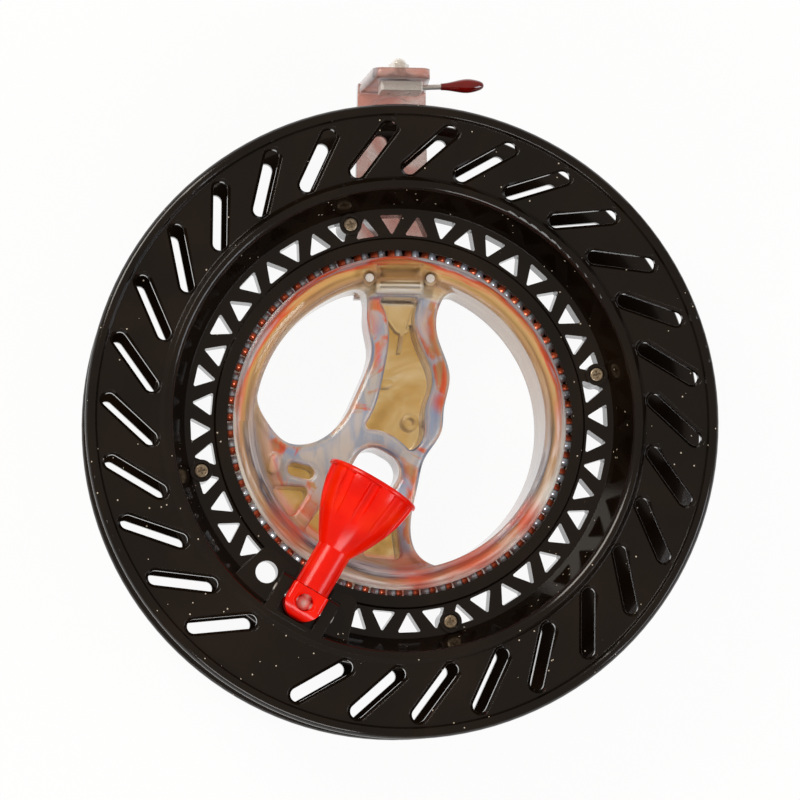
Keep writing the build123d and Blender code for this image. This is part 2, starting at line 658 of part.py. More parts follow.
with BuildPart() as handle_frame:
    with BuildSketch():
        Circle(ring_r)
        add(finger_window.sketch, mode=Mode.SUBTRACT)
        add(thumb_window.sketch, mode=Mode.SUBTRACT)
        add(palm_window.sketch, mode=Mode.SUBTRACT)
    extrude(amount=grip_front)
    for high in (0, grip_front):
        rims = handle_frame.edges().filter_by_position(Axis.Z, high - 0.01, high + 0.01)
        fillet([e for e in rims if on_outline(e, palm_window)], palm_rim)
    for high, rim_r in ((0, finger_rim), (grip_front, finger_rim_front)):
        rims = handle_frame.edges().filter_by_position(Axis.Z, high - 0.01, high + 0.01)
        fillet([e for e in rims if on_outline(e, finger_window) or on_outline(e, thumb_window)], rim_r)
    # pockets open to the front
    with BuildSketch(Plane.XY.offset(floor_thick)) as pockets:
        add(grip_channel.sketch)
        add(corner_pockets.sketch)
    extrude(amount=grip_front, mode=Mode.SUBTRACT)
    mouths = handle_frame.edges().filter_by_position(Axis.Z, grip_front - 0.01, grip_front + 0.01)
    fillet([e for e in mouths if on_outline(e, pockets)], pocket_rim)
    # wedge, ribs, peg and boss in the grip
    with BuildSketch(Plane.XY.offset(floor_thick - 0.5)) as wedge:
        Polygon((-6.2, channel_top), (8.0, channel_top), (4.5, 34.4), (1.2, 34.4), align=None)
        fillet(wedge.vertices().group_by(Axis.Y)[0], 1.2)
    extrude(amount=wedge_top - floor_thick + 0.5)
    with BuildSketch(Plane.XY.offset(floor_thick - 0.5)):
        with BuildLine():
            Polyline((-6.2, channel_top), (1.0, 34.6), (2.8, 33.6), (4.7, 34.6), (8.0, channel_top))
        trace(line_width=rib_thick)
        with BuildLine():
            Polyline((2.8, 33.6), (1.8, 26.4))
        trace(line_width=rib_thick)
    extrude(amount=rib_top - floor_thick + 0.5)
    with BuildSketch(Plane.XY.offset(floor_thick - 0.5)):
        with Locations((-3.6, 15.4)):
            SlotOverall(6.2, 3.0)
        with Locations((5.6, 1.8)):
            Circle(3.1)
            Circle(1.4, mode=Mode.SUBTRACT)
    extrude(amount=peg_top - floor_thick + 0.5)
    with BuildSketch(Plane.XY.offset(grip_front - 1)):
        with Locations((-43.6, -14.4)):
            SlotOverall(7.4, 3.6, rotation=76)
    extrude(amount=4)
    # ring round the openings, standing above the grip
    with BuildSketch(Plane.XY.offset(grip_front - 4)) as ring:
        Circle(ring_r)
        Circle(window_r, mode=Mode.SUBTRACT)
    extrude(amount=ring_front - grip_front + 4)
    # flange behind the balls
    with BuildSketch():
        Circle(rear_flange_r)
        Circle(ring_r - 1, mode=Mode.SUBTRACT)
    extrude(amount=rear_flange_top)
    crown = handle_frame.faces().sort_by(Axis.Z)[-1]
    fillet(crown.inner_wires().edges(), ring_rim)
    chamfer(handle_frame.faces().sort_by(Axis.Z)[-1].outer_wire().edges(), outer_rim)
    chamfer(handle_frame.faces().sort_by(Axis.Z)[0].outer_wire().edges(), outer_rim)
    with BuildSketch(Plane.XY.offset(ring_front - ring_recess_deep)):
        Circle(ring_recess_outer)
        Circle(ring_recess_inner, mode=Mode.SUBTRACT)
    extrude(amount=ring_recess_deep, mode=Mode.SUBTRACT)
    # block between the arm's screws, with a sunk panel and a grooved ledge, and a post round each screw
    block_mid = (socket_from + socket_to) / 2
    panel_low = socket_from + ledge_width
    panel_high = socket_to - socket_wall
    with BuildSketch(Plane.XY.offset(floor_thick)):
        with Locations((0, block_mid)):
            Rectangle(2 * socket_half, socket_to - socket_from)
    extrude(amount=socket_top - floor_thick)
    with BuildSketch(Plane.XY.offset(floor_thick)):
        with Locations(*screw_spots):
            Circle(post_r)
    extrude(amount=post_top - floor_thick)
    with BuildSketch(Plane.XY.offset(socket_top)):
        with Locations((0, block_mid)):
            Rectangle(2 * socket_half, socket_to - socket_from)
    extrude(amount=ring_front, mode=Mode.SUBTRACT)
    with BuildSketch(Plane.XY.offset(post_top)):
        with Locations(*screw_spots):
            Circle(post_r)
    extrude(amount=ring_front, mode=Mode.SUBTRACT)
    with BuildSketch(Plane.XY.offset(socket_top - socket_sink)):
        with Locations((0, (panel_low + panel_high) / 2)):
            Rectangle(2 * (socket_half - socket_wall), panel_high - panel_low)
    extrude(amount=ring_front, mode=Mode.SUBTRACT)
    with BuildSketch(Plane.XY.offset(socket_top - ledge_groove)):
        with Locations((0, socket_from + ledge_width / 2)):
            with GridLocations(0, 2 * ledge_groove, 1, 2):
                Rectangle(2 * (socket_half - socket_wall), ledge_groove)
    extrude(amount=ring_front, mode=Mode.SUBTRACT)
    # recess for the arm's foot and holes for its screws
    with BuildSketch():
        foot_half = arm_foot_half + arm_fit
        Polygon(
            (-foot_half, arm_foot - arm_fit),
            (foot_half, arm_foot - arm_fit),
            (foot_half, rear_flange_r + 1),
            (-foot_half, rear_flange_r + 1),
            align=None,
        )
    extrude(amount=arm_thick, mode=Mode.SUBTRACT)
    with BuildSketch():
        with Locations(*screw_spots):
            Circle(arm_screw_r + fit_gap)
    extrude(amount=ring_front, mode=Mode.SUBTRACT)
    with BuildSketch(Plane.XZ):
        with Locations((ball_circle, mid)):
            Circle(race_r)
    revolve(axis=Axis.Z, mode=Mode.SUBTRACT)
handle_frame.part.label = "handle_frame"
export_step(handle_frame.part, "parts/handle_frame.step")

# --- guide arm ---------------------------------------------------------------------------------
with BuildPart() as guide_arm:
    with BuildSketch():
        Polygon(
            (-arm_foot_half, arm_foot),
            (arm_foot_half, arm_foot),
            (arm_top_half, plate_top),
            (-arm_top_half, plate_top),
            align=None,
        )
    extrude(amount=arm_thick)
    with BuildSketch(Plane.XZ.offset(-plate_top)) as plate:
        Polygon(
            (-arm_top_half, 0),
            (arm_top_half, 0),
            (plate_front_half, plate_front),
            (-plate_front_half, plate_front),
            align=None,
        )
        fillet(plate.vertices().group_by(Axis.Z)[-1], plate_corner)
    extrude(amount=plate_thick)
    corner = guide_arm.edges().filter_by(Axis.X).sort_by_distance((0, plate_under, arm_thick))[0]
    fillet(corner, haunch)
    # panel with an arched end, sunk in the arm's front
    with BuildSketch(Plane.XY.offset(arm_thick - panel_deep)):
        with Locations((0, plate_under - panel_wall - panel_half)):
            Circle(panel_half)
        Polygon(
            (-panel_half, panel_from),
            (panel_half, panel_from),
            (panel_half, plate_under - panel_wall - panel_half),
            (-panel_half, plate_under - panel_wall - panel_half),
            align=None,
        )
    extrude(amount=panel_deep + haunch, mode=Mode.SUBTRACT)
    with BuildSketch(lock_level(plate_under)):
        Circle(bolt_r + fit_gap)
    extrude(amount=plate_thick, mode=Mode.SUBTRACT)
    with BuildSketch():
        with Locations(*screw_spots):
            Circle(arm_screw_r + 4 * fit_gap)
    extrude(amount=arm_thick, mode=Mode.SUBTRACT)
    with BuildSketch():
        with Locations(*screw_spots):
            Circle(arm_screw_head_r + head_gap)
    extrude(amount=arm_screw_head_high + arm_screw_sink, mode=Mode.SUBTRACT)
guide_arm.part.label = "guide_arm"
export_step(guide_arm.part, "parts/guide_arm.step")

with BuildPart() as arm_screws:
    with BuildSketch(Plane.XY.offset(arm_screw_sink)):
        with Locations(*screw_spots):
            Circle(arm_screw_head_r)
    extrude(amount=arm_screw_head_high)
    fillet(arm_screws.faces().group_by(Axis.Z)[0].edges(), 0.7)
    with BuildSketch(Plane.XY.offset(arm_screw_sink)):
        with Locations(*screw_spots):
            Circle(arm_screw_r)
    extrude(amount=arm_screw_length)
    with BuildSketch(Plane.XY.offset(arm_screw_sink)):
        with Locations(*screw_spots):
            Rectangle(3.2, 0.8)
            Rectangle(0.8, 3.2)
    extrude(amount=1.1, mode=Mode.SUBTRACT)
arm_screws.part.label = "arm_screws"
export_step(arm_screws.part, "parts/arm_screws.step")

# --- line lock ---------------------------------------------------------------------------------
nut_from = plate_top + washer_thick
with BuildPart() as lock_bolt:
    with BuildSketch(lock_level(bar_under)):
        Circle(bolt_head_r)
    extrude(amount=bolt_head_high)
    chamfer(lock_bolt.faces().sort_by(Axis.Y)[0].edges(), 0.3)
    with BuildSketch(lock_level(bar_under)):
        Circle(bolt_r)
    extrude(amount=nut_from + nut_high / 2 - bar_under)
lock_bolt.part.label = "lock_bolt"
export_step(lock_bolt.part, "parts/lock_bolt.step")

with BuildPart() as lock_washer:
    with BuildSketch(lock_level(plate_top)):
        Circle(bolt_head_r + 0.5)
        Circle(bolt_r + fit_gap, mode=Mode.SUBTRACT)
    extrude(amount=washer_thick)
lock_washer.part.label = "lock_washer"
export_step(lock_washer.part, "parts/lock_washer.step")

with BuildPart() as dome_nut:
    with BuildSketch(lock_level(nut_from)):
        RegularPolygon(nut_r, 6)
    extrude(amount=nut_high / 2)
    with BuildSketch(Plane(origin=(0, nut_from, mid), x_dir=(1, 0, 0), z_dir=(0, 0, 1))):
        with BuildLine():
            Polyline((0, nut_high), (0, 0), (dome_r, 0), (dome_r, nut_high - dome_r))
            RadiusArc((dome_r, nut_high - dome_r), (0, nut_high), -dome_r)
        make_face()
    revolve(axis=Axis((0, nut_from, mid), (0, 1, 0)))
    with BuildSketch(lock_level(nut_from)):
        Circle(bolt_r + fit_gap)
    extrude(amount=nut_high / 2 + 0.3, mode=Mode.SUBTRACT)
dome_nut.part.label = "dome_nut"
export_step(dome_nut.part, "parts/dome_nut.step")

with BuildPart() as lock_bar:
    with BuildSketch(lock_level(bar_under)) as bar:
        with Locations(((bar_right - bar_left) / 2, 0)):
            RectangleRounded(bar_left + bar_right, 2 * bar_half, bar_corner)
        Circle(bolt_r + 2 * fit_gap, mode=Mode.SUBTRACT)
    extrude(amount=bar_thick)
    fillet(lock_bar.faces().sort_by(Axis.Y)[0].outer_wire().edges(), bar_rim)
    fillet(lock_bar.faces().sort_by(Axis.Y)[-1].outer_wire().edges(), bar_rim)
    # counterbore for the bolt's head, and the rod's hole
    with BuildSketch(lock_level(bar_under)):
        Circle(bolt_head_r + side_gap)
    extrude(amount=bolt_head_high + bolt_head_gap, mode=Mode.SUBTRACT)
    with BuildSketch(rod_section(-rod_seat)):
        Circle(rod_r + fit_gap)
    extrude(amount=2 * rod_seat, mode=Mode.SUBTRACT)
lock_bar.part.label = "lock_bar"
export_step(lock_bar.part, "parts/lock_bar.step")

sleeve_end = sleeve_start + sleeve_length
rod_start = 0.1 - rod_seat
with BuildPart() as lever_rod:
    with BuildSketch(rod_section(rod_start)):
        Circle(rod_r)
    extrude(amount=sleeve_end - sleeve_tip - rod_start)
lever_rod.part.label = "lever_rod"
export_step(lever_rod.part, "parts/lever_rod.step")

with BuildPart() as lever_sleeve:
    with BuildSketch(Plane(origin=rod_axis.position, x_dir=rod_dir, z_dir=(0, 0, 1))):
        with BuildLine():
            Polyline((sleeve_end, 0), (sleeve_start, 0), (sleeve_start, rod_r + 0.25))
            Spline(
                (sleeve_start, rod_r + 0.25),
                (sleeve_start + 0.26 * sleeve_length, 0.68 * sleeve_r),
                (sleeve_start + 0.58 * sleeve_length, sleeve_r),
                (sleeve_start + 0.87 * sleeve_length, 0.72 * sleeve_r),
                (sleeve_end, 0),
                tangents=((1, 0.05), (0, -1)),
            )
        make_face()
    revolve(axis=rod_axis)
    with BuildSketch(rod_section(sleeve_start)):
        Circle(rod_r + fit_gap)
    extrude(amount=sleeve_length - sleeve_tip + 0.1, mode=Mode.SUBTRACT)
lever_sleeve.part.label = "lever_sleeve"
export_step(lever_sleeve.part, "parts/lever_sleeve.step")
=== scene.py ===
import bpy
import math
from mathutils import Matrix, Vector

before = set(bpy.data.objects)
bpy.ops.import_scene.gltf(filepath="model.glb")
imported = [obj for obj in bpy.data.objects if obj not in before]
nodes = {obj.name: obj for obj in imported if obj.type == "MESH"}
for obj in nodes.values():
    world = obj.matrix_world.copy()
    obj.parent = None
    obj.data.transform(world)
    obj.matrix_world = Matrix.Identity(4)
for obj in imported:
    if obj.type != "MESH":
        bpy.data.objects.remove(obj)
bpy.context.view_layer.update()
bpy.ops.object.select_all(action="DESELECT")
print("frame loaded,", len(nodes), "nodes")


def linearColour(hexText):
    channels = [int(hexText[i:i + 2], 16) / 255 for i in (1, 3, 5)]
    return [c / 12.92 if c <= 0.04045 else ((c + 0.055) / 1.055) ** 2.4 for c in channels] + [1.0]


def perMetre(millimetres):  # texture scale for a feature of this size
    return 1000 / millimetres


def addNode(tree, kind, settings=None, inputs=None, links=None):
    node = tree.nodes.new(kind)
    for name, value in (settings or {}).items():
        setattr(node, name, value)
    for socket, value in (inputs or {}).items():
        node.inputs[socket].default_value = value
    for socket, source in (links or {}).items():
        tree.links.new(source, node.inputs[socket])
    return node


smooth = {"interpolation_type": "SMOOTHSTEP"}
colourMix = {"data_type": "RGBA"}


def newMaterial(name):
    material = bpy.data.materials.new(name)
    material.use_nodes = True
    tree = material.node_tree
    shader = tree.nodes["Principled BSDF"]
    place = addNode(tree, "ShaderNodeTexCoord").outputs["Object"]
    return material, tree, shader, place


def fillRamp(ramp, stops):
    points = ramp.color_ramp.elements
    while len(points) < len(stops):
        points.new(0.5)
    for point, (position, hexText) in zip(points, stops):
        point.position = position
        point.color = linearColour(hexText)


# moulded ABS, glossy black with a warm cast: faint flow marks, dust held by its charge, edges that catch
# light
blackAbs = {"body": "#0C0703", "worn": "#1C120A", "dust": "#C9BFAE", "flowMm": 38, "grainMm": 0.9,
            "dustMm": 3.6,
            "patchMm": 17, "speckShare": 0.075, "edgeMm": 0.35, "roughness": 0.09}


def makeBlackAbs(cfg):
    material, tree, shader, place = newMaterial("mouldedBlackAbs")
    flow = addNode(tree, "ShaderNodeTexNoise",
                   inputs={"Scale": perMetre(cfg["flowMm"]), "Detail": 4.0, "Distortion": 0.6},
                   links={"Vector": place})
    tone = addNode(tree, "ShaderNodeValToRGB", links={"Fac": flow.outputs["Fac"]})
    fillRamp(tone, [(0.35, cfg["body"]), (0.8, cfg["worn"])])
    specks = addNode(tree, "ShaderNodeTexVoronoi", inputs={"Scale": perMetre(cfg["dustMm"])},
                     links={"Vector": place})
    isDust = addNode(tree, "ShaderNodeMath", {"operation": "LESS_THAN"}, {1: cfg["speckShare"]},
                     {0: specks.outputs["Distance"]})
    patch = addNode(tree, "ShaderNodeTexNoise", inputs={"Scale": perMetre(cfg["patchMm"]), "Detail": 2.0},
                    links={"Vector": place})
    inPatch = addNode(tree, "ShaderNodeMath", {"operation": "GREATER_THAN"}, {1: 0.5},
                      {0: patch.outputs["Fac"]})
    dusty = addNode(tree, "ShaderNodeMath", {"operation": "MULTIPLY"},
                    links={0: isDust.outputs[0], 1: inPatch.outputs[0]})
    colour = addNode(tree, "ShaderNodeMix", colourMix,
                     links={0: dusty.outputs[0], 6: tone.outputs["Color"]})
    colour.inputs[7].default_value = linearColour(cfg["dust"])
    grain = addNode(tree, "ShaderNodeTexNoise", inputs={"Scale": perMetre(cfg["grainMm"]), "Detail": 3.0},
                    links={"Vector": place})
    rough = addNode(tree, "ShaderNodeMapRange",
                    inputs={3: cfg["roughness"] - 0.03, 4: cfg["roughness"] + 0.07},
                    links={0: flow.outputs["Fac"]})
    softEdge = addNode(tree, "ShaderNodeBevel", {"samples": 4}, {"Radius": cfg["edgeMm"] / 1000})
    bump = addNode(tree, "ShaderNodeBump", inputs={"Strength": 0.04, "Distance": 0.0002},
                   links={"Height": grain.outputs["Fac"], "Normal": softEdge.outputs[0]})
    tree.links.new(colour.outputs[2], shader.inputs["Base Color"])
    tree.links.new(rough.outputs[0], shader.inputs["Roughness"])
    tree.links.new(bump.outputs["Normal"], shader.inputs["Normal"])
    shader.inputs["IOR"].default_value = 1.54
    shader.inputs["Specular IOR Level"].default_value = 0.36
    return material


# moulded orange-red ABS; a faint emission in its own colour is a painted glow that makes it brighter than
# the lamps light it
redAbs = {"body": "#F01602", "deep": "#DA0B01", "light": "#FA2A04", "flowMm": 14, "grainMm": 0.7,
          "edgeMm": 0.3,
          "roughness": 0.2, "paintedGlow": 0.08}


def makeRedAbs(cfg):
    material, tree, shader, place = newMaterial("mouldedRedAbs")
    flow = addNode(tree, "ShaderNodeTexNoise", inputs={"Scale": perMetre(cfg["flowMm"]), "Detail": 3.0},
                   links={"Vector": place})
    tone = addNode(tree, "ShaderNodeValToRGB", links={"Fac": flow.outputs["Fac"]})
    fillRamp(tone, [(0.3, cfg["deep"]), (0.52, cfg["body"]), (0.75, cfg["light"])])
    grain = addNode(tree, "ShaderNodeTexNoise", inputs={"Scale": perMetre(cfg["grainMm"]), "Detail": 2.0},
                    links={"Vector": place})
    softEdge = addNode(tree, "ShaderNodeBevel", {"samples": 4}, {"Radius": cfg["edgeMm"] / 1000})
    bump = addNode(tree, "ShaderNodeBump", inputs={"Strength": 0.04, "Distance": 0.0002},
                   links={"Height": grain.outputs["Fac"], "Normal": softEdge.outputs[0]})
    tree.links.new(tone.outputs["Color"], shader.inputs["Base Color"])
    # painted glow: the surface emits its own red, as no lamp would
    tree.links.new(tone.outputs["Color"], shader.inputs["Emission Color"])
    tree.links.new(bump.outputs["Normal"], shader.inputs["Normal"])
    shader.inputs["Emission Strength"].default_value = cfg["paintedGlow"]
    shader.inputs["Roughness"].default_value = cfg["roughness"]
    shader.inputs["Specular IOR Level"].default_value = 0.3
    return material


# clear polycarbonate, injection moulded. Its reflections are painted to match the view from the front:
# tan and
# amber on deep floors, bands of pale blue-grey and white along walls and rims, orange-red in thick edges
clearPc = {"amber": "#D9AE66", "deepAmber": "#B5853A", "cream": "#F0D8AC", "mist": "#C4C2C8",
           "blue": "#8CA4CC",
           "slate": "#45404E", "white": "#FFFBF4", "orange": "#E24E26", "pink": "#E4AE9C", "tan": "#BE9163",
           "patchMm": 24, "bandMm": 5.5, "veinMm": 8.0, "streakMm": 2.6, "rimMm": 3.2, "roughness": 0.04,
           "bandStretch": (0.22, 0.22, 1.6), "veinStretch": (1.0, 0.3, 1.0), "sway": (-0.3, 0.42),
           "flatTilt": 0.97, "wallTilt": 0.72, "floorTop": 14.5, "wallFoot": 19.0, "floorClear": 0.85,
           "wallClear": 0.4, "ringFrom": 44.0, "ringTo": 58.3, "ringBlend": 2.5, "ringMargin": 6.0,
           "streakTurn": 2.4, "wobbleMm": 4.5, "warmBelow": -18.0, "coolAbove": 22.0, "paintedOrangeShare": 0.85,
           "paintedOrangeSpots": [(-13, 36, 9), (15, 36, 9), (-36, -34, 15), (16, 8, 6), (26, -50, 22), (44, -34, 12),
                        (5, -56, 16)]}
# the arm's plate and neck gather pink where the handle's floors gather amber
armPc = dict(clearPc, amber="#E4B2A6", deepAmber="#C4796C", cream="#F2DCD4", tan="#D2B4AC",
             orange="#E09A88",
             slate="#9A94A0", blue="#B4C0D6",
             floorTop=60.0, wallFoot=61.0, floorClear=0.7, wallClear=0.65,
             paintedOrangeSpots=[(-12, 118, 7), (9, 122, 5)])


def makeClearPc(cfg, name="clearPolycarbonate"):
    material, tree, shader, place = newMaterial(name)
    position = addNode(tree, "ShaderNodeVectorMath", {"operation": "SCALE"}, {"Scale": 1000.0}, {0: place})
    split = addNode(tree, "ShaderNodeSeparateXYZ", links={0: position.outputs[0]})
    facing = addNode(tree, "ShaderNodeTexCoord").outputs["Normal"]
    tilt = addNode(tree, "ShaderNodeSeparateXYZ", links={0: facing})
    steep = addNode(tree, "ShaderNodeMapRange", smooth, {1: cfg["flatTilt"], 2: cfg["wallTilt"]},
                    {0: tilt.outputs["Z"]})
    # painted reflection bands that follow the outline: fine up the wall, long around it
    stretch = addNode(tree, "ShaderNodeMapping", links={"Vector": place})
    stretch.inputs["Scale"].default_value = cfg["bandStretch"]
    bands = addNode(tree, "ShaderNodeTexNoise",
                    inputs={"Scale": perMetre(cfg["bandMm"]), "Detail": 3.0, "Distortion": 0.8},
                    links={"Vector": stretch.outputs[0]})
    wall = addNode(tree, "ShaderNodeValToRGB", links={"Fac": bands.outputs["Fac"]})
    fillRamp(wall, [(0.3, cfg["slate"]), (0.39, cfg["blue"]), (0.47, cfg["mist"]), (0.53, cfg["pink"]),
                    (0.58, cfg["white"]), (0.62, cfg["tan"]), (0.72, cfg["orange"])])
    # flat floors: amber clouds
    clouds = addNode(tree, "ShaderNodeTexNoise",
                     inputs={"Scale": perMetre(cfg["patchMm"]), "Detail": 5.0, "Distortion": 1.4},
                     links={"Vector": place})
    amber = addNode(tree, "ShaderNodeValToRGB", links={"Fac": clouds.outputs["Fac"]})
    fillRamp(amber,
             [(0.3, cfg["deepAmber"]), (0.48, cfg["amber"]), (0.62, cfg["cream"]), (0.75, cfg["pink"])])
    # painted orange-red reflection in soft spots round thick places
    hot = None
    flat = addNode(tree, "ShaderNodeVectorMath", {"operation": "MULTIPLY"}, {1: (1, 1, 0)},
                   {0: position.outputs[0]})
    for x, y, reach in cfg["paintedOrangeSpots"]:
        gap = addNode(tree, "ShaderNodeVectorMath", {"operation": "DISTANCE"}, {1: (x, y, 0)},
                      {0: flat.outputs[0]})
        near = addNode(tree, "ShaderNodeMapRange", smooth, {1: reach, 2: 0.0},
                       {0: gap.outputs["Value"]}).outputs[0]
        hot = near if hot is None else addNode(tree, "ShaderNodeMath", {"operation": "MAXIMUM"},
                                               links={0: hot, 1: near}).outputs[0]
    # wall tops read as rounded rims: painted highlight and reflection bands at a constant distance from
    # their edges
    roundRim = addNode(tree, "ShaderNodeBevel", {"samples": 8}, {"Radius": cfg["rimMm"] / 1000})
    truth = addNode(tree, "ShaderNodeNewGeometry").outputs["True Normal"]
    agree = addNode(tree, "ShaderNodeVectorMath", {"operation": "DOT_PRODUCT"},
                    links={0: roundRim.outputs[0], 1: truth})
    fromEdge = addNode(tree, "ShaderNodeMapRange", inputs={1: 0.998, 2: 0.86},
                       links={0: agree.outputs["Value"]})
    drawn = addNode(tree, "ShaderNodeMapping", links={"Vector": place})
    drawn.inputs["Scale"].default_value = cfg["veinStretch"]
    veins = addNode(tree, "ShaderNodeTexNoise",
                    inputs={"Scale": perMetre(cfg["veinMm"]), "Detail": 4.0, "Distortion": 1.5},
                    links={"Vector": drawn.outputs[0]})
    sway = addNode(tree, "ShaderNodeMapRange", inputs={3: cfg["sway"][0], 4: cfg["sway"][1]},
                   links={0: veins.outputs["Fac"]})
    inward = addNode(tree, "ShaderNodeMath", {"operation": "ADD", "use_clamp": True},
                     links={0: fromEdge.outputs[0], 1: sway.outputs[0]})
    coolRim = addNode(tree, "ShaderNodeValToRGB", links={"Fac": inward.outputs[0]})
    fillRamp(coolRim, [(0.0, cfg["mist"]), (0.16, cfg["blue"]), (0.34, cfg["mist"]), (0.46, cfg["white"]),
                       (0.56, cfg["pink"]), (0.7, cfg["blue"]), (0.86, cfg["slate"]), (0.97, cfg["white"])])
    warmRim = addNode(tree, "ShaderNodeValToRGB", links={"Fac": inward.outputs[0]})
    fillRamp(warmRim, [(0.0, cfg["tan"]), (0.14, cfg["orange"]), (0.4, cfg["orange"]), (0.46, cfg["white"]),
                       (0.53, cfg["orange"]), (0.72, cfg["orange"]), (0.86, cfg["slate"]),
                       (0.97, cfg["pink"])])
    hotCloud = addNode(tree, "ShaderNodeMapRange", smooth, {1: 0.5, 2: 0.58},
                       {0: clouds.outputs["Fac"]})
    isHot = addNode(tree, "ShaderNodeMath", {"operation": "MAXIMUM"},
                    links={0: hot, 1: hotCloud.outputs[0]})
    top = addNode(tree, "ShaderNodeMix", colourMix,
                  links={0: isHot.outputs[0], 6: coolRim.outputs["Color"], 7: warmRim.outputs["Color"]})
    high = addNode(tree, "ShaderNodeMapRange", smooth,
                   {1: cfg["floorTop"], 2: cfg["wallFoot"]}, {0: split.outputs["Z"]})
    flats = addNode(tree, "ShaderNodeMix", colourMix,
                    links={0: high.outputs[0], 6: amber.outputs["Color"], 7: top.outputs[2]})
    body = addNode(tree, "ShaderNodeMix", colourMix,
                   links={0: steep.outputs[0], 6: flats.outputs[2], 7: wall.outputs["Color"]})
    opaque = addNode(tree, "ShaderNodeMath", {"operation": "MAXIMUM"},
                     links={0: high.outputs[0], 1: steep.outputs[0]})
    clear = addNode(tree, "ShaderNodeMapRange", inputs={3: cfg["floorClear"], 4: cfg["wallClear"]},
                    links={0: opaque.outputs[0]})
    # the ball ring: painted reflection streaks run round it, cool towards the arm, warm on the far side
    # from it
    radius = addNode(tree, "ShaderNodeVectorMath", {"operation": "LENGTH"}, links={0: flat.outputs[0]})
    turn = addNode(tree, "ShaderNodeMath", {"operation": "ARCTAN2"},
                   links={0: split.outputs["Y"], 1: split.outputs["X"]})
    along = addNode(tree, "ShaderNodeMath", {"operation": "MULTIPLY"}, {1: cfg["streakTurn"]},
                    {0: turn.outputs[0]})
    unrolled = addNode(tree, "ShaderNodeCombineXYZ", links={
        "X": addNode(tree, "ShaderNodeMath", {"operation": "DIVIDE"}, {1: cfg["streakMm"]},
                     {0: radius.outputs["Value"]}).outputs[0],
        "Y": along.outputs[0],
        "Z": addNode(tree, "ShaderNodeMath", {"operation": "DIVIDE"}, {1: cfg["streakMm"]},
                     {0: split.outputs["Z"]}).outputs[0]})
    streaks = addNode(tree, "ShaderNodeTexNoise", inputs={"Scale": 1.0, "Detail": 3.0, "Distortion": 0.3},
                      links={"Vector": unrolled.outputs[0]})
    wobble = addNode(tree, "ShaderNodeMapRange", inputs={3: -cfg["wobbleMm"], 4: cfg["wobbleMm"]},
                     links={0: streaks.outputs["Fac"]})
    across = addNode(tree, "ShaderNodeMath", {"operation": "ADD"},
                     links={0: radius.outputs["Value"], 1: wobble.outputs[0]})
    share = addNode(tree, "ShaderNodeMapRange", inputs={1: cfg["ringFrom"], 2: cfg["ringTo"]},
                    links={0: across.outputs[0]})
    cool = addNode(tree, "ShaderNodeValToRGB", links={"Fac": share.outputs[0]})
    fillRamp(cool, [(0.0, cfg["blue"]), (0.16, cfg["white"]), (0.32, cfg["cream"]), (0.52, cfg["tan"]),
                    (0.74, cfg["amber"]), (0.86, cfg["orange"]), (0.96, cfg["mist"])])
    warm = addNode(tree, "ShaderNodeValToRGB", links={"Fac": share.outputs[0]})
    fillRamp(warm, [(0.0, cfg["orange"]), (0.14, cfg["pink"]), (0.34, cfg["tan"]), (0.52, cfg["mist"]),
                    (0.66, cfg["slate"]), (0.8, cfg["tan"]), (0.93, cfg["white"])])
    lift = addNode(tree, "ShaderNodeMapRange", smooth, {1: cfg["warmBelow"], 2: cfg["coolAbove"]},
                   {0: split.outputs["Y"]})
    ring = addNode(tree, "ShaderNodeMix", colourMix,
                   links={0: lift.outputs[0], 6: warm.outputs["Color"], 7: cool.outputs["Color"]})
    onRing = addNode(tree, "ShaderNodeMapRange", smooth,
                     {1: cfg["ringFrom"], 2: cfg["ringFrom"] + cfg["ringBlend"]},
                     {0: radius.outputs["Value"]})
    onHandle = addNode(tree, "ShaderNodeMath", {"operation": "LESS_THAN"},
                       {1: cfg["ringTo"] + cfg["ringMargin"]}, {0: radius.outputs["Value"]})
    isRing = addNode(tree, "ShaderNodeMath", {"operation": "MULTIPLY"},
                     links={0: onRing.outputs[0], 1: onHandle.outputs[0]})
    whole = addNode(tree, "ShaderNodeMix", colourMix,
                    links={0: isRing.outputs[0], 6: body.outputs[2], 7: ring.outputs[2]})
    # the same spots, broken by the wall bands, are painted over with orange reflection
    broken = addNode(tree, "ShaderNodeMapRange", smooth, {1: 0.42, 2: 0.56},
                     {0: bands.outputs["Fac"]})
    heat = addNode(tree, "ShaderNodeMath", {"operation": "MULTIPLY"}, links={0: hot, 1: broken.outputs[0]})
    paintedOrangeShare = addNode(tree, "ShaderNodeMath", {"operation": "MULTIPLY"}, {1: cfg["paintedOrangeShare"]},
                        {0: heat.outputs[0]})
    lit = addNode(tree, "ShaderNodeMix", colourMix, links={0: paintedOrangeShare.outputs[0], 6: whole.outputs[2]})
    lit.inputs[7].default_value = linearColour(cfg["orange"])
    tree.links.new(lit.outputs[2], shader.inputs["Base Color"])
    tree.links.new(clear.outputs[0], shader.inputs["Transmission Weight"])
    tree.links.new(roundRim.outputs[0], shader.inputs["Normal"])
    shader.inputs["Roughness"].default_value = cfg["roughness"]
    shader.inputs["IOR"].default_value = 1.585
    return material


# polished bearing steel; the copper side, the blue-grey side and the dark band between them on each ball
# are painted reflection and shade
ballSteel = {"paintedCopperSide": "#EE7048", "blue": "#DCE6F4", "paintedShadeBand": "#5A4A52", "count": 63, "roughness": 0.1}


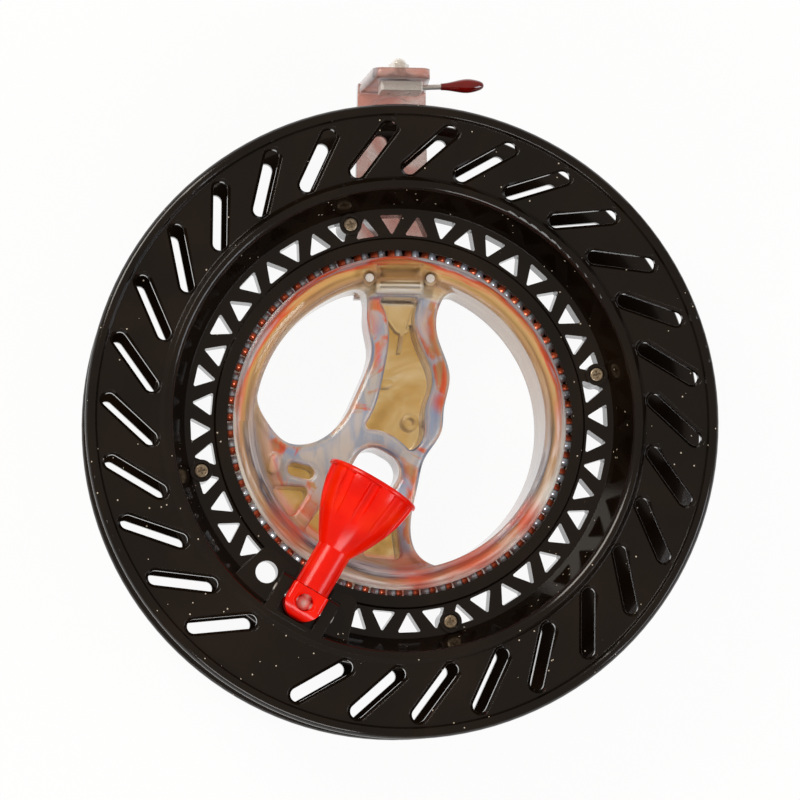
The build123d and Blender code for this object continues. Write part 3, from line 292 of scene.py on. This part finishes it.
def makeBallSteel(cfg):
    material, tree, shader, place = newMaterial("polishedBallSteel")
    split = addNode(tree, "ShaderNodeSeparateXYZ", links={0: place})
    turn = addNode(tree, "ShaderNodeMath", {"operation": "ARCTAN2"},
                   links={0: split.outputs["Y"], 1: split.outputs["X"]})
    pitch = 2 * math.pi / cfg["count"]
    across = addNode(tree, "ShaderNodeMath", {"operation": "WRAP"}, {1: pitch / 2, 2: -pitch / 2},
                     {0: turn.outputs[0]})
    side = addNode(tree, "ShaderNodeMapRange", inputs={1: -pitch / 2, 2: pitch / 2},
                   links={0: across.outputs[0]})
    # painted reflection and shade: blue-grey on one side of each ball, a dark band, then copper on the
    # other
    tone = addNode(tree, "ShaderNodeValToRGB", links={"Fac": side.outputs[0]})
    fillRamp(tone, [(0.12, cfg["blue"]), (0.44, cfg["blue"]), (0.52, cfg["paintedShadeBand"]), (0.6, cfg["paintedCopperSide"])])
    tree.links.new(tone.outputs["Color"], shader.inputs["Base Color"])
    shader.inputs["Metallic"].default_value = 0.4
    shader.inputs["Roughness"].default_value = cfg["roughness"]
    return material


# zinc-plated steel, bright with a soft passivated skin and faint turning marks
zincSteel = {"body": "#FFFDF9", "dull": "#E2DED8", "markMm": 0.5, "metallic": 0.45, "roughness": 0.24}


def makeZincSteel(cfg, name="zincSteel"):
    material, tree, shader, place = newMaterial(name)
    marks = addNode(tree, "ShaderNodeTexNoise", inputs={"Scale": perMetre(cfg["markMm"]), "Detail": 3.0},
                    links={"Vector": place})
    tone = addNode(tree, "ShaderNodeValToRGB", links={"Fac": marks.outputs["Fac"]})
    fillRamp(tone, [(0.35, cfg["dull"]), (0.65, cfg["body"])])
    bump = addNode(tree, "ShaderNodeBump", inputs={"Strength": 0.08, "Distance": 0.0001},
                   links={"Height": marks.outputs["Fac"]})
    tree.links.new(tone.outputs["Color"], shader.inputs["Base Color"])
    tree.links.new(bump.outputs["Normal"], shader.inputs["Normal"])
    shader.inputs["Metallic"].default_value = cfg["metallic"]
    shader.inputs["Roughness"].default_value = cfg["roughness"]
    return material


# dipped soft vinyl in dark red, shiny as lacquer
redVinyl = {"body": "#620302", "light": "#8E0C06", "dipMm": 9, "roughness": 0.07}


def makeRedVinyl(cfg):
    material, tree, shader, place = newMaterial("dippedRedVinyl")
    dip = addNode(tree, "ShaderNodeTexNoise", inputs={"Scale": perMetre(cfg["dipMm"]), "Detail": 2.0},
                  links={"Vector": place})
    tone = addNode(tree, "ShaderNodeValToRGB", links={"Fac": dip.outputs["Fac"]})
    fillRamp(tone, [(0.35, cfg["body"]), (0.75, cfg["light"])])
    tree.links.new(tone.outputs["Color"], shader.inputs["Base Color"])
    shader.inputs["Roughness"].default_value = cfg["roughness"]
    shader.inputs["Coat Weight"].default_value = 0.8
    return material


materials = {
    "black": makeBlackAbs(blackAbs),
    "red": makeRedAbs(redAbs),
    "clear": makeClearPc(clearPc),
    "armClear": makeClearPc(armPc, "clearPolycarbonateArm"),
    "balls": makeBallSteel(ballSteel),
    "zinc": makeZincSteel(zincSteel),
    "bronzeZinc": makeZincSteel(dict(zincSteel, body="#BFAE94", dull="#80705A", roughness=0.3),
                                "yellowZincSteel"),
    "nickel": makeZincSteel(dict(zincSteel, dull="#F2F0EC", metallic=0.08, roughness=0.12),
                            "nickelPlatedSteel"),
    "vinyl": makeRedVinyl(redVinyl),
}
finishes = {
    "wheel_front": "black", "wheel_rear": "black", "wheel_screws": "bronzeZinc", "bearing_balls": "balls",
    "hinge_pin": "zinc", "crank_block": "red", "crank_spindle": "nickel", "crank_knob": "red",
    "knob_washer": "zinc", "knob_screw": "zinc", "handle_frame": "clear", "guide_arm": "armClear",
    "arm_screws": "zinc", "lock_bolt": "zinc", "lock_washer": "zinc", "dome_nut": "zinc",
    "lock_bar": "zinc", "lever_rod": "zinc", "lever_sleeve": "vinyl",
}
for node, finish in finishes.items():
    mesh = nodes[node].data
    mesh.materials.clear()
    mesh.materials.append(materials[finish])
print("materials set")

# floor, lamps and world
studio = {"floor": "#FBFAF8", "floorSize": 6.0, "floorDrop": 0.0004, "whiteShare": 0.94, "world": "#A79C92",
          "keyWatts": 15, "fillWatts": 7, "backWatts": 8}


def makeFloor(cfg):
    bpy.ops.mesh.primitive_plane_add(size=cfg["floorSize"], location=(0, 0, -cfg["floorDrop"]))
    floor = bpy.context.object
    floor.name = "paleFloor"
    material, tree, shader = newMaterial("paleBackdrop")[:3]
    shader.inputs["Base Color"].default_value = linearColour(cfg["floor"])
    shader.inputs["Roughness"].default_value = 0.9
    path = addNode(tree, "ShaderNodeLightPath")
    straight = addNode(tree, "ShaderNodeMath", {"operation": "MAXIMUM"},
                       links={0: path.outputs["Is Camera Ray"], 1: path.outputs["Is Transmission Ray"]})
    mirrored = addNode(tree, "ShaderNodeMath", {"operation": "MAXIMUM"},
                       links={0: straight.outputs[0], 1: path.outputs["Is Glossy Ray"]})
    share = addNode(tree, "ShaderNodeMath", {"operation": "MULTIPLY"}, {1: cfg["whiteShare"]},
                    {0: mirrored.outputs[0]})
    white = addNode(tree, "ShaderNodeEmission", inputs={"Color": (1, 1, 1, 1), "Strength": 1.0})
    mix = addNode(tree, "ShaderNodeMixShader",
                  links={0: share.outputs[0], 1: shader.outputs[0], 2: white.outputs[0]})
    tree.links.new(mix.outputs[0], tree.nodes["Material Output"].inputs["Surface"])
    floor.data.materials.append(material)


def addSoftbox(name, place, size, watts, colour):
    bpy.ops.object.light_add(type="AREA", location=place)
    lamp = bpy.context.object
    lamp.name = name
    lamp.data.shape = "RECTANGLE"
    lamp.data.size = size[0]
    lamp.data.size_y = size[1]
    lamp.data.energy = watts
    lamp.data.color = linearColour(colour)[:3]
    lamp.rotation_euler = (-Vector(place)).to_track_quat("-Z", "Y").to_euler()


makeFloor(studio)
addSoftbox("keySoftbox", (-0.9, 0.9, 1.1), (0.7, 0.7), studio["keyWatts"], "#FFF8EE")
addSoftbox("fillSoftbox", (1.2, -0.5, 0.9), (0.8, 0.5), studio["fillWatts"], "#F2F6FF")
addSoftbox("lowSoftbox", (-0.5, -1.3, 0.8), (0.9, 0.4), studio["backWatts"], "#FFFFFF")
world = bpy.data.worlds.new("studioWorld")
bpy.context.scene.world = world
world.use_nodes = True
world.node_tree.nodes["Background"].inputs["Color"].default_value = linearColour(studio["world"])
print("stage set")

# camera: a long lens a little left of and below the wheel's axis
lens = {"away": 1.333, "focalPixels": 3872, "leftTurn": 6.44, "lowTurn": 5.6, "facePoint": (0, 0, 0.047),
        "faceAt": (405.3, 418.5), "imageSide": 800}


def addCamera(cfg):
    lookAlong = Vector((math.tan(math.radians(cfg["leftTurn"])), math.tan(math.radians(cfg["lowTurn"])),
                        -1)).normalized()
    right = lookAlong.cross(Vector((0, 1, 0))).normalized()
    up = right.cross(lookAlong)
    acrossMetres = (cfg["faceAt"][0] - cfg["imageSide"] / 2) / cfg["focalPixels"] * cfg["away"]
    downMetres = (cfg["faceAt"][1] - cfg["imageSide"] / 2) / cfg["focalPixels"] * cfg["away"]
    eye = Vector(cfg["facePoint"]) - lookAlong * cfg["away"] - right * acrossMetres + up * downMetres
    facing = Matrix((right, up, -lookAlong)).transposed()
    bpy.ops.object.camera_add(location=eye, rotation=facing.to_euler())
    camera = bpy.context.object
    camera.data.sensor_fit = "HORIZONTAL"
    camera.data.angle = 2 * math.atan(cfg["imageSide"] / 2 / cfg["focalPixels"])
    bpy.context.scene.camera = camera


addCamera(lens)
bpy.context.scene.view_settings.view_transform = "Standard"
print("camera set")
